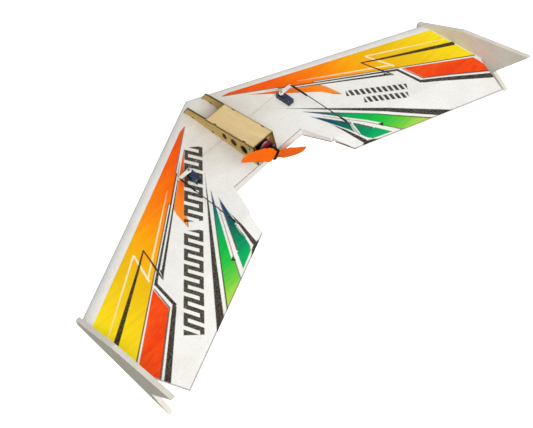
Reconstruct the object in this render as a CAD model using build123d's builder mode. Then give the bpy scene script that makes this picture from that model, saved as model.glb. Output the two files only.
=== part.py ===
"""Small electric flying wing: moulded-bead foam wing with two elevons and two
tip fins, a plywood power pod with a pusher motor, and one servo per elevon.

Frame: +X to the right wing tip, +Y to the nose, +Z up, millimetres.
Stations are given as distance aft of the nose (d), heights relative to the
flat upper surface of the wing (h), and turned into row coordinates by
fy() and fz().  The origin is the centre of the footprint at the lowest point.
"""
import math
import os

from build123d import *

# ----------------------------------------------------------------- dimensions
SPAN = 600.0
LENGTH = 312.0            # nose to the rear corner of the fins
DECK_H = 33.0             # wing upper surface above the fin tails
FIN_T = 6.0
HALF = SPAN / 2 - FIN_T   # half span of the foam wing, inside the fins

# planform, distances aft of the nose
LE_TIP_D = 145.7
HINGE_X0, HINGE_D0 = 64.5, 187.0
HINGE_SLOPE = 0.2658
TE_X0, TE_D0 = 81.0, 219.0
TE_SLOPE = 0.4164
NOTCH_X, NOTCH_D = 58.5, 151.0
NOTCH_SLOPE = 3.022
ELEVON_TIP_X, ELEVON_TIP_D = 271.7, 298.4

# section
WING_T = 18.0
LE_H = 9.5                # leading edge below the upper surface
LE_UP, LE_LOW = 24.0, 28.0
HINGE_T = 7.0
ELEVON_TE_TOP, ELEVON_TE_BOT = 4.4, 6.4
HINGE_GAP = 0.35
HINGE_BEVEL = 3.6

# pod
PLY = 2.0
POD_HALF = 16.8           # to the outer faces of the side plates
POD_FRONT_H, POD_FRONT_D = 12.5, 25.5
POD_REAR_H, POD_REAR_D = 30.0, 145.0
POD_SINK = 8.0
DECK_D = 60.5             # front edge of the top plate
TAB_D = (77.0, 128.6)
TAB_L = 5.0
FIREWALL_D = 137.0

# motor and propeller
AXIS_H = 17.8
BELL_R = 9.3
SHAFT_R = 1.5
PROP_R = 63.5             # 5 inch propeller
PROP_D = 164.0
PROP_TWIST = 30.0         # shallow twist: advance per turn of each section
PROP_TILT = 36.4          # resting blade angle above the horizontal

# servos and linkage
SERVO_X, SERVO_D0, SERVO_L, SERVO_W = 80.6, 91.0, 22.8, 9.4
SERVO_TOP, SERVO_BOT = 6.5, 12.5
SHAFT_D = 96.6
ARM_R = 16.4
ARM_H0, ARM_T = 7.9, 1.4
ROD_H = 10.2
HORN_D = 196.2            # straight above the hinge line
HORN_LIFT = 0.3           # the hole sits this much above the wire at rest
HORN_X = 99.2
WIRE_R = 0.45
ROD_R = 0.6

os.makedirs("parts", exist_ok=True)


def fy(d):
    return LENGTH / 2 - d


def fz(h):
    return DECK_H + h


def hinge_d(x):
    return HINGE_D0 + HINGE_SLOPE * (x - HINGE_X0)


def te_d(x):
    return TE_D0 + TE_SLOPE * (x - TE_X0)


def notch_d(x):
    return NOTCH_D + NOTCH_SLOPE * (x - NOTCH_X)


def pod_h(d):
    """height of the pod's upper face at station d"""
    return POD_FRONT_H + (POD_REAR_H - POD_FRONT_H) * (d - POD_FRONT_D) / (
        POD_REAR_D - POD_FRONT_D
    )


def yz(points):
    """(station, height) pairs as sketch points on a YZ plane"""
    return [(fy(d), fz(h)) for d, h in points]


def save(part, name):
    part.label = name
    export_step(part, f"parts/{name}.step")


# where the notch edge meets the hinge line
NX = (
    HINGE_D0 - HINGE_SLOPE * HINGE_X0 - NOTCH_D + NOTCH_SLOPE * NOTCH_X
) / (NOTCH_SLOPE - HINGE_SLOPE)
ROOT_HINGE_D = hinge_d(0.0)
TIP_HINGE_D = hinge_d(HALF)

# ------------------------------------------------------- servo lead channels
# lead centre lines, aft distances and heights
LEAD_R = 1.1
LEAD_H = -2.6
LEAD_D = 87.0
lead_points = {
    1: [(SERVO_X, SERVO_D0), (SERVO_X, LEAD_D), (-4.4, LEAD_D), (-4.4, 118.0)],
    -1: [(-SERVO_X, SERVO_D0), (-SERVO_X, LEAD_D), (-9.0, LEAD_D), (-9.0, 118.0)],
}
CH = 1.5                  # half width of the channel cut in the foam


def channel_boxes(side):
    """centre-x, centre-d, width, length of the channel's straight cuts"""
    p = lead_points[side]
    out = []
    for (x0, d0), (x1, d1) in zip(p, p[1:]):
        out.append(
            (
                (x0 + x1) / 2,
                (d0 + d1) / 2,
                abs(x1 - x0) + 2 * CH,
                abs(d1 - d0) + 2 * CH,
            )
        )
    return out


# ------------------------------------------------------------------- the wing
with BuildPart() as wing_half_right:
    for x, le, hd in ((0.0, 0.0, ROOT_HINGE_D), (HALF, LE_TIP_D, TIP_HINGE_D)):
        chord = hd - le
        with BuildSketch(Plane.YZ.offset(x)):
            with BuildLine():
                up = EllipticalCenterArc(
                    (fy(le + LE_UP), fz(-LE_H)), LE_UP, LE_H, 0, arc_size=90
                )
                low = EllipticalCenterArc(
                    (fy(le + LE_LOW), fz(-LE_H)),
                    LE_LOW,
                    WING_T - LE_H,
                    270,
                    arc_size=90,
                )
                Polyline(
                    up @ 1,
                    (fy(hd), fz(0)),
                    (fy(hd), fz(-HINGE_T)),
                    (fy(le + 0.48 * chord), fz(-WING_T)),
                    low @ 0,
                )
            make_face()
    loft(ruled=True)
    # notch that the propeller turns in
    with BuildSketch(Plane.XY.offset(fz(-WING_T - 5))):
        with BuildLine():
            Polyline(
                (-1, fy(NOTCH_D)),
                (NOTCH_X, fy(NOTCH_D)),
                (NX, fy(notch_d(NX))),
                (NX, fy(260)),
                (-1, fy(260)),
                close=True,
            )
        make_face()
    extrude(amount=WING_T + 10, mode=Mode.SUBTRACT)
    # pod slot, servo pocket, spar slot in the lower face
    with Locations(
        ((POD_HALF - PLY / 2), (fy(16.5) + fy(149.8)) / 2, fz(-POD_SINK / 2 + 5))
    ):
        Box(PLY, 149.8 - 16.5, POD_SINK + 10, mode=Mode.SUBTRACT)
    with Locations(
        (SERVO_X, fy(SERVO_D0 + SERVO_L / 2), fz((5 - SERVO_BOT) / 2))
    ):
        Box(SERVO_W, SERVO_L, SERVO_BOT + 5, mode=Mode.SUBTRACT)
    with Locations((60.0, fy(80.0), fz(-WING_T + 2.5))):
        Box(120.0, 1.0, 6.0, mode=Mode.SUBTRACT)
    for cx, cd, w, l in channel_boxes(1):
        with Locations((cx, fy(cd), fz(LEAD_H + 2.0))):
            Box(w, l, 2 * LEAD_R + 4.2, mode=Mode.SUBTRACT)

with BuildPart() as wing_half_left:
    for x, le, hd in ((0.0, 0.0, ROOT_HINGE_D), (-HALF, LE_TIP_D, TIP_HINGE_D)):
        chord = hd - le
        with BuildSketch(Plane.YZ.offset(x)):
            with BuildLine():
                up = EllipticalCenterArc(
                    (fy(le + LE_UP), fz(-LE_H)), LE_UP, LE_H, 0, arc_size=90
                )
                low = EllipticalCenterArc(
                    (fy(le + LE_LOW), fz(-LE_H)),
                    LE_LOW,
                    WING_T - LE_H,
                    270,
                    arc_size=90,
                )
                Polyline(
                    up @ 1,
                    (fy(hd), fz(0)),
                    (fy(hd), fz(-HINGE_T)),
                    (fy(le + 0.48 * chord), fz(-WING_T)),
                    low @ 0,
                )
            make_face()
    loft(ruled=True)
    with BuildSketch(Plane.XY.offset(fz(-WING_T - 5))):
        with BuildLine():
            Polyline(
                (1, fy(NOTCH_D)),
                (-NOTCH_X, fy(NOTCH_D)),
                (-NX, fy(notch_d(NX))),
                (-NX, fy(260)),
                (1, fy(260)),
                close=True,
            )
        make_face()
    extrude(amount=WING_T + 10, mode=Mode.SUBTRACT)
    with Locations(
        (-(POD_HALF - PLY / 2), (fy(16.5) + fy(149.8)) / 2, fz(-POD_SINK / 2 + 5))
    ):
        Box(PLY, 149.8 - 16.5, POD_SINK + 10, mode=Mode.SUBTRACT)
    with Locations(
        (-SERVO_X, fy(SERVO_D0 + SERVO_L / 2), fz((5 - SERVO_BOT) / 2))
    ):
        Box(SERVO_W, SERVO_L, SERVO_BOT + 5, mode=Mode.SUBTRACT)
    with Locations((-60.0, fy(80.0), fz(-WING_T + 2.5))):
        Box(120.0, 1.0, 6.0, mode=Mode.SUBTRACT)
    # both leads reach the receiver, which stands on the left half
    for side in (1, -1):
        for cx, cd, w, l in channel_boxes(side):
            if cx - w / 2 < 0:
                with Locations((cx, fy(cd), fz(LEAD_H + 2.0))):
                    Box(w, l, 2 * LEAD_R + 4.2, mode=Mode.SUBTRACT)

# carbon strip on edge, glued into a slot in the lower face
with BuildPart() as wing_spar:
    with Locations((0, fy(80.0), fz(-WING_T + 3.0))):
        Box(238.0, 1.0, 5.0)

# -------------------------------------------------------------------- elevons
ELEVON_INNER_X = NX + 2.4
with BuildPart() as elevon_right:
    for x in (60.0, 300.0):
        a, b = hinge_d(x) + HINGE_GAP, te_d(x)
        with BuildSketch(Plane.YZ.offset(x)):
            with BuildLine():
                Polyline(
                    (fy(a), fz(0)),
                    (fy(b), fz(-ELEVON_TE_TOP)),
                    (fy(b), fz(-ELEVON_TE_BOT)),
                    (fy(a + HINGE_BEVEL), fz(-HINGE_T)),
                    close=True,
                )
            make_face()
    loft(ruled=True)
    with BuildSketch(Plane.XY.offset(fz(-WING_T))):
        with BuildLine():
            Polyline(
                (ELEVON_INNER_X, fy(hinge_d(ELEVON_INNER_X) - 5)),
                (ELEVON_INNER_X, fy(hinge_d(ELEVON_INNER_X))),
                (TE_X0, fy(TE_D0)),
                (TE_X0, fy(TE_D0) - 10),
                (ELEVON_TIP_X, fy(ELEVON_TIP_D) - 10),
                (ELEVON_TIP_X, fy(ELEVON_TIP_D)),
                (292.3, fy(hinge_d(292.3))),
                (292.3, fy(hinge_d(292.3) - 5)),
                close=True,
            )
        make_face()
    extrude(amount=WING_T + 10, mode=Mode.INTERSECT)
    # slot for the control horn's root
    with BuildSketch(Plane.YZ.offset(HORN_X - 0.6)):
        with BuildLine():
            Polyline(
                *yz([(200.0, 2.0), (200.4, -0.6), (201.4, -5.0), (210.0, -5.0), (211.0, -1.8), (212.0, 2.0)]),
                close=True,
            )
        make_face()
    extrude(amount=1.2, mode=Mode.SUBTRACT)

with BuildPart() as elevon_left:
    for x in (60.0, 300.0):
        a, b = hinge_d(x) + HINGE_GAP, te_d(x)
        with BuildSketch(Plane.YZ.offset(-x)):
            with BuildLine():
                Polyline(
                    (fy(a), fz(0)),
                    (fy(b), fz(-ELEVON_TE_TOP)),
                    (fy(b), fz(-ELEVON_TE_BOT)),
                    (fy(a + HINGE_BEVEL), fz(-HINGE_T)),
                    close=True,
                )
            make_face()
    loft(ruled=True)
    with BuildSketch(Plane.XY.offset(fz(-WING_T))):
        with BuildLine():
            Polyline(
                (-ELEVON_INNER_X, fy(hinge_d(ELEVON_INNER_X) - 5)),
                (-ELEVON_INNER_X, fy(hinge_d(ELEVON_INNER_X))),
                (-TE_X0, fy(TE_D0)),
                (-TE_X0, fy(TE_D0) - 10),
                (-ELEVON_TIP_X, fy(ELEVON_TIP_D) - 10),
                (-ELEVON_TIP_X, fy(ELEVON_TIP_D)),
                (-292.3, fy(hinge_d(292.3))),
                (-292.3, fy(hinge_d(292.3) - 5)),
                close=True,
            )
        make_face()
    extrude(amount=WING_T + 10, mode=Mode.INTERSECT)
    with BuildSketch(Plane.YZ.offset(-HORN_X - 0.6)):
        with BuildLine():
            Polyline(
                *yz([(200.0, 2.0), (200.4, -0.6), (201.4, -5.0), (210.0, -5.0), (211.0, -1.8), (212.0, 2.0)]),
                close=True,
            )
        make_face()
    extrude(amount=1.2, mode=Mode.SUBTRACT)

# ----------------------------------------------------------------------- fins
FIN_OUTLINE = [
    (143.0, -3.5),
    (215.0, 26.0),
    (312.0, 42.0),
    (268.0, -12.0),
    (290.0, -33.0),
    (143.0, -15.0),
]
with BuildPart() as fin_right:
    with BuildSketch(Plane.YZ.offset(HALF)):
        with BuildLine():
            Polyline(*yz(FIN_OUTLINE), close=True)
        make_face()
    extrude(amount=FIN_T)

with BuildPart() as fin_left:
    with BuildSketch(Plane.YZ.offset(-SPAN / 2)):
        with BuildLine():
            Polyline(*yz(FIN_OUTLINE), close=True)
        make_face()
    extrude(amount=FIN_T)

# ------------------------------------------------------------------ power pod
PIN = POD_HALF - PLY      # inner faces of the side plates
T0, T1 = TAB_L / 2, -0.1
SIDE_OUTLINE = [
    (16.5, -POD_SINK),
    (16.5, -1.2),
    (19.5, 3.2),
    (POD_FRONT_D, POD_FRONT_H),
    (DECK_D, pod_h(DECK_D)),
    (DECK_D, pod_h(DECK_D) - PLY),
    (TAB_D[0] - T0, pod_h(TAB_D[0] - T0) - PLY),
    (TAB_D[0] - T0, pod_h(TAB_D[0] - T0) + T1),
    (TAB_D[0] + T0, pod_h(TAB_D[0] + T0) + T1),
    (TAB_D[0] + T0, pod_h(TAB_D[0] + T0) - PLY),
    (TAB_D[1] - T0, pod_h(TAB_D[1] - T0) - PLY),
    (TAB_D[1] - T0, pod_h(TAB_D[1] - T0) + T1),
    (TAB_D[1] + T0, pod_h(TAB_D[1] + T0) + T1),
    (TAB_D[1] + T0, pod_h(TAB_D[1] + T0) - PLY),
    (POD_REAR_D, POD_REAR_H - PLY),
    (149.3, 2.5),
    (149.8, -POD_SINK),
]
# lightening holes: station, height, width, depth
OVALS = [
    (93.2, 10.8, 6.6, 7.6),
    (109.6, 11.8, 8.6, 9.8),
    (127.2, 12.4, 10.4, 11.6),
]
STRAP_HOLES = [(34.5, 1.9), (71.0, 2.2)]

with BuildPart() as pod_side_right:
    with BuildSketch(Plane.YZ.offset(PIN)):
        with BuildLine():
            Polyline(*yz(SIDE_OUTLINE), close=True)
        make_face()
        for d, h, width, depth in OVALS:
            with Locations((fy(d), fz(h))):
                Ellipse(width / 2, depth / 2, mode=Mode.SUBTRACT)
        for d, h in STRAP_HOLES:
            with Locations((fy(d), fz(h))):
                Rectangle(4.0, 2.2, mode=Mode.SUBTRACT)
        # hole for the servo lead, slot for the firewall's tab
        with Locations((fy(LEAD_D), fz(LEAD_H))):
            Circle(1.8, mode=Mode.SUBTRACT)
        with Locations((fy(FIREWALL_D + PLY / 2), fz(23.0))):
            Rectangle(PLY, 5.0, mode=Mode.SUBTRACT)
    extrude(amount=PLY)

with BuildPart() as pod_side_left:
    with BuildSketch(Plane.YZ.offset(-POD_HALF)):
        with BuildLine():
            Polyline(*yz(SIDE_OUTLINE), close=True)
        make_face()
        for d, h, width, depth in OVALS:
            with Locations((fy(d), fz(h))):
                Ellipse(width / 2, depth / 2, mode=Mode.SUBTRACT)
        for d, h in STRAP_HOLES:
            with Locations((fy(d), fz(h))):
                Rectangle(4.0, 2.2, mode=Mode.SUBTRACT)
        with Locations((fy(LEAD_D), fz(LEAD_H))):
            Circle(1.8, mode=Mode.SUBTRACT)
        with Locations((fy(FIREWALL_D + PLY / 2), fz(23.0))):
            Rectangle(PLY, 5.0, mode=Mode.SUBTRACT)
    extrude(amount=PLY)

with BuildPart() as pod_top_plate:
    with BuildSketch(Plane.YZ.offset(-POD_HALF)):
        with BuildLine():
            Polyline(
                *yz(
                    [
                        (DECK_D, pod_h(DECK_D)),
                        (POD_REAR_D, POD_REAR_H),
                        (POD_REAR_D, POD_REAR_H - PLY),
                        (DECK_D, pod_h(DECK_D) - PLY),
                    ]
                ),
                close=True,
            )
        make_face()
    extrude(amount=2 * POD_HALF)
    for d in TAB_D:
        with Locations(
            (POD_HALF, fy(d), fz(pod_h(d))), (-POD_HALF, fy(d), fz(pod_h(d)))
        ):
            Box(2 * PLY, TAB_L, 8 * PLY, mode=Mode.SUBTRACT)

with BuildPart() as motor_firewall:
    with BuildSketch(Plane.YZ.offset(-PIN)):
        with BuildLine():
            Polyline(
                *yz(
                    [
                        (FIREWALL_D, 0),
                        (FIREWALL_D + PLY, 0),
                        (FIREWALL_D + PLY, pod_h(FIREWALL_D + PLY) - PLY),
                        (FIREWALL_D, pod_h(FIREWALL_D) - PLY),
                    ]
                ),
                close=True,
            )
        make_face()
    extrude(amount=2 * PIN)
    with Locations((0, fy(FIREWALL_D + PLY / 2), fz(23.0))):
        Box(2 * POD_HALF, PLY, 5.0)
    # motor screw holes, shaft relief and the wire hole
    with BuildSketch(Plane.XZ.offset(-fy(FIREWALL_D - 1))):
        with Locations((0, fz(AXIS_H))):
            with PolarLocations(6.0, 4, start_angle=45):
                Circle(0.85)
            Circle(2.4)
        with Locations((9.6, fz(AXIS_H - 7.0))):
            Circle(2.6)
    extrude(amount=PLY + 2, mode=Mode.SUBTRACT)

# ---------------------------------------------------------- battery, avionics
with BuildPart() as battery_pad:
    with Locations((0, fy(78.0), fz(0.6))):
        Box(24.0, 16.0, 1.2)

with BuildPart() as battery_pack:
    with Locations((0, fy(83.0), fz(7.2))):
        Box(26.0, 42.0, 12.0)
    fillet(battery_pack.edges().filter_by(Axis.Y), 2.4)

with BuildPart() as battery_leads:
    with BuildSketch(Plane.XZ.offset(-fy(104.0))):
        with Locations((4.6, fz(7.0)), (8.4, fz(7.0))):
            Circle(0.9)
    extrude(amount=2.5)

with BuildPart() as battery_plug:
    with Locations((6.5, fy(109.5), fz(7.0))):
        Box(8.4, 6.0, 5.2)
    fillet(battery_plug.edges().filter_by(Axis.Y), 0.8)

with BuildPart() as esc_leads:
    with BuildSketch(Plane.XZ.offset(-fy(112.5))):
        with Locations((4.6, fz(7.0)), (8.4, fz(7.0))):
            Circle(0.9)
    extrude(amount=1.5)

with BuildPart() as speed_controller:
    with Locations((7.4, fy(123.5), fz(8.0))):
        Box(9.0, 19.0, 15.0)
    fillet(speed_controller.edges(), 1.2)

with BuildPart() as receiver:
    with Locations((-6.7, fy(122.5), fz(8.0))):
        Box(11.0, 21.0, 15.0)
    fillet(receiver.edges().filter_by(Axis.Z), 1.0)

# one lead per servo, from the case to the foot of the receiver
lead_parts = {}
with BuildPart() as servo_lead_right:
    with BuildLine():
        p = lead_points[1]
        route = FilletPolyline(
            (p[0][0], fy(p[0][1]), fz(LEAD_H)),
            (p[1][0], fy(p[1][1]), fz(LEAD_H)),
            (p[2][0], fy(p[2][1]), fz(LEAD_H)),
            (p[3][0], fy(p[3][1]), fz(LEAD_H)),
            (p[3][0], fy(p[3][1]), fz(0.5)),
            radius=2.6,
        )
    with BuildSketch(Plane(route @ 0, z_dir=route % 0)):
        Circle(LEAD_R)
    sweep()
print("servo_lead_right", round(route.length, 1), "mm, radius 2.6 mm in its channel")

with BuildPart() as servo_lead_left:
    with BuildLine():
        p = lead_points[-1]
        route = FilletPolyline(
            (p[0][0], fy(p[0][1]), fz(LEAD_H)),
            (p[1][0], fy(p[1][1]), fz(LEAD_H)),
            (p[2][0], fy(p[2][1]), fz(LEAD_H)),
            (p[3][0], fy(p[3][1]), fz(LEAD_H)),
            (p[3][0], fy(p[3][1]), fz(0.5)),
            radius=2.6,
        )
    with BuildSketch(Plane(route @ 0, z_dir=route % 0)):
        Circle(LEAD_R)
    sweep()
print("servo_lead_left", round(route.length, 1), "mm, radius 2.6 mm in its channel")

# ---------------------------------------------------------------------- motor
AX = (0, fz(AXIS_H))
MOTOR_D = FIREWALL_D + PLY


def aft(d):
    """plane across the motor axis at station d, its normal pointing aft"""
    return Plane((0, fy(d), fz(AXIS_H)), x_dir=(1, 0, 0), z_dir=(0, -1, 0))


with BuildPart() as motor_base:
    with BuildSketch(aft(MOTOR_D)):
        Circle(8.6)
        with PolarLocations(6.0, 4, start_angle=45):
            Circle(0.85, mode=Mode.SUBTRACT)
    extrude(amount=2.0)
    # bearing tube that carries the stator
    with BuildSketch(aft(MOTOR_D)):
        Circle(3.0)
    extrude(amount=13.0)
    with BuildSketch(aft(MOTOR_D - 1)):
        Circle(SHAFT_R + 0.05)
    extrude(amount=16.0, mode=Mode.SUBTRACT)

with BuildPart() as motor_screws:
    with BuildSketch(aft(MOTOR_D - PLY)):
        with PolarLocations(6.0, 4, start_angle=45):
            Circle(0.8)
    extrude(amount=PLY + 2.0)
    with BuildSketch(aft(MOTOR_D + 2.0)):
        with PolarLocations(6.0, 4, start_angle=45):
            Circle(1.5)
    extrude(amount=0.9)

with BuildPart() as motor_stator:
    with BuildSketch(aft(MOTOR_D + 3.6)):
        Circle(7.3)
        with PolarLocations(6.0, 9):
            SlotOverall(3.4, 1.1, mode=Mode.SUBTRACT)
        Circle(3.0, mode=Mode.SUBTRACT)
    extrude(amount=8.4)

BELL_D = MOTOR_D + 3.2
SHAFT_END = BELL_D + 23.3  # just short of the hub's rear face
with BuildPart() as motor_bell:
    with BuildSketch(aft(BELL_D)):
        Circle(BELL_R)
        Circle(BELL_R - 0.8, mode=Mode.SUBTRACT)
    extrude(amount=11.0)
    # end cap with six vents, and the boss that grips the shaft
    with BuildSketch(aft(BELL_D + 11.0)):
        Circle(BELL_R)
        Circle(SHAFT_R, mode=Mode.SUBTRACT)
        with PolarLocations(6.2, 6):
            SlotOverall(4.4, 2.6, rotation=90, mode=Mode.SUBTRACT)
    extrude(amount=1.6)
    fillet(
        motor_bell.edges()
        .filter_by(GeomType.CIRCLE)
        .filter_by(lambda e: abs(e.radius - BELL_R) < 1e-3)
        .sort_by(Axis.Y)[0],
        1.0,
    )

with BuildPart() as motor_magnets:
    with BuildSketch(aft(BELL_D + 0.6)):
        with PolarLocations(BELL_R - 1.3, 12):
            Rectangle(0.7, 3.0)
    extrude(amount=8.0)

with BuildPart() as motor_shaft:
    with BuildSketch(aft(MOTOR_D - 0.5)):
        Circle(SHAFT_R)
    extrude(amount=SHAFT_END - MOTOR_D + 0.5)

# -------------------------------------------- propeller and its elastic mount
# directions across the axis, seen from behind: along the raised blade, and
# square to it
B = (-math.cos(math.radians(PROP_TILT)), math.sin(math.radians(PROP_TILT)))
S = (B[1], -B[0])
SAVER_D = BELL_D + 12.6 + 0.3


def across(d, along, square, dh=0.0):
    """a point at station d, offset along the blade and square to it"""
    return (
        along * B[0] + square * S[0],
        fy(d),
        fz(AXIS_H + dh) + along * B[1] + square * S[1],
    )


with BuildPart() as prop_saver:
    with BuildSketch(aft(SAVER_D)):
        Circle(4.2)
        Circle(SHAFT_R, mode=Mode.SUBTRACT)
    extrude(amount=4.4)
    for s in (1, -1):
        with BuildSketch(
            Plane(across(SAVER_D + 2.2, 0, 0), z_dir=(s * S[0], 0, s * S[1]))
        ):
            Circle(0.7)
        extrude(amount=5.0, mode=Mode.SUBTRACT)

with BuildPart() as prop_saver_screws:
    for s in (1, -1):
        with BuildSketch(
            Plane(
                across(SAVER_D + 2.2, 0, s * (SHAFT_R + 0.1)),
                z_dir=(s * S[0], 0, s * S[1]),
            )
        ):
            Circle(0.7)
        extrude(amount=5.8)
        with BuildSketch(
            Plane(
                across(SAVER_D + 2.2, 0, s * (SHAFT_R + 5.9)),
                z_dir=(s * S[0], 0, s * S[1]),
            )
        ):
            Circle(1.35)
        extrude(amount=1.2)

HUB_D0, HUB_D1 = SAVER_D + 4.5, SAVER_D + 10.5
HUB_R = 5.0


def blade_section(r, chord, thick, lead):
    """plane across the blade at radius r, and its section's centre offset"""
    beta = math.atan(PROP_TWIST / (2 * math.pi * max(r, 14.0)))
    c, s = math.cos(beta), math.sin(beta)
    return c, s


# radius, chord, thickness, leading-edge distance ahead of the blade axis
BLADE = [
    (2.6, 11.0, 3.4, 5.2),
    (4.6, 14.6, 3.2, 7.0),
    (8.0, 16.4, 2.9, 8.0),
    (14.0, 17.2, 2.4, 9.0),
    (22.0, 17.0, 1.9, 9.7),
    (32.0, 15.6, 1.6, 9.7),
    (44.0, 13.4, 1.3, 8.7),
    (54.0, 10.8, 1.1, 6.8),
    (60.5, 7.8, 0.9, 4.4),
    (63.35, 4.6, 0.7, 1.8),
]
with BuildPart() as propeller:
    for turn in (1, -1):
        for r, chord, thick, lead in BLADE:
            c, s = blade_section(r, chord, thick, lead)
            # chord direction: square to the blade and leaning forward
            xd = (turn * S[0] * c, s, turn * S[1] * c)
            mid = lead - chord / 2
            o = (
                turn * r * B[0] + mid * xd[0],
                fy(PROP_D) + mid * xd[1],
                fz(AXIS_H) + turn * r * B[1] + mid * xd[2],
            )
            with BuildSketch(
                Plane(o, x_dir=xd, z_dir=(turn * B[0], 0, turn * B[1]))
            ):
                Ellipse(chord / 2, thick / 2)
        loft()
    with BuildSketch(aft(HUB_D0)):
        Circle(HUB_R)
    extrude(amount=HUB_D1 - HUB_D0)
    with BuildSketch(aft(HUB_D0 - 3)):
        Circle(SHAFT_R + 0.02)
    extrude(amount=HUB_D1 - HUB_D0 + 6, mode=Mode.SUBTRACT)
    # the blades' roots stay behind the saver's front face and ahead of the ring
    with BuildSketch(aft(HUB_D0 - 6)):
        Circle(9.0)
    extrude(amount=6.0, mode=Mode.SUBTRACT)
    with BuildSketch(aft(HUB_D1)):
        Circle(9.0)
    extrude(amount=6.0, mode=Mode.SUBTRACT)

# rubber ring: hooked on one screw, over the hub's rear face on both sides of
# the shaft, and hooked on the other screw
RING_W = 1.0
RING_U = 1.25             # each strand runs this far from the axis
RING_P = SHAFT_R + 4.6
with BuildPart() as prop_ring:
    for u in (1, -1):
        with BuildSketch(
            Plane(
                across(0, u * RING_U - RING_W / 2, 0),
                x_dir=(S[0], 0, S[1]),
                z_dir=(B[0], 0, B[1]),
            )
        ) as strand:
            # local x is square to the blade, local y points forward or aft
            sign = 1 if Plane(
                across(0, 0, 0), x_dir=(S[0], 0, S[1]), z_dir=(B[0], 0, B[1])
            ).y_dir.Y > 0 else -1
            with BuildLine():
                Polyline(
                    (RING_P + 0.75, -sign * (SAVER_D + 0.6)),
                    (RING_P + 0.75, -sign * (HUB_D1 + 0.8)),
                    (RING_P - 0.35, -sign * (HUB_D1 + 1.6)),
                    (-RING_P + 0.35, -sign * (HUB_D1 + 1.6)),
                    (-RING_P - 0.75, -sign * (HUB_D1 + 0.8)),
                    (-RING_P - 0.75, -sign * (SAVER_D + 0.6)),
                    (-RING_P + 0.75, -sign * (SAVER_D + 0.6)),
                    (-RING_P + 0.75, -sign * (HUB_D1 + 0.05)),
                    (RING_P - 0.75, -sign * (HUB_D1 + 0.05)),
                    (RING_P - 0.75, -sign * (SAVER_D + 0.6)),
                    close=True,
                )
            make_face()
        extrude(amount=RING_W)
    for s in (1, -1):
        with BuildSketch(
            Plane(
                across(SAVER_D + 0.55, 0, s * RING_P - 0.75),
                x_dir=(B[0], 0, B[1]),
                z_dir=(S[0], 0, S[1]),
            )
        ):
            Rectangle(2 * RING_U + RING_W, 1.2)
        extrude(amount=1.5)

# -------------------------------------------------------- motor to controller
with BuildPart() as motor_wires:
    with BuildSketch(Plane.XZ.offset(-fy(133.0))):
        with Locations(
            (9.6 - 1.35, fz(AXIS_H - 7.6)),
            (9.6 + 1.35, fz(AXIS_H - 7.6)),
            (9.6, fz(AXIS_H - 5.6)),
        ):
            Circle(0.7)
    extrude(amount=9.6)

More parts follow.
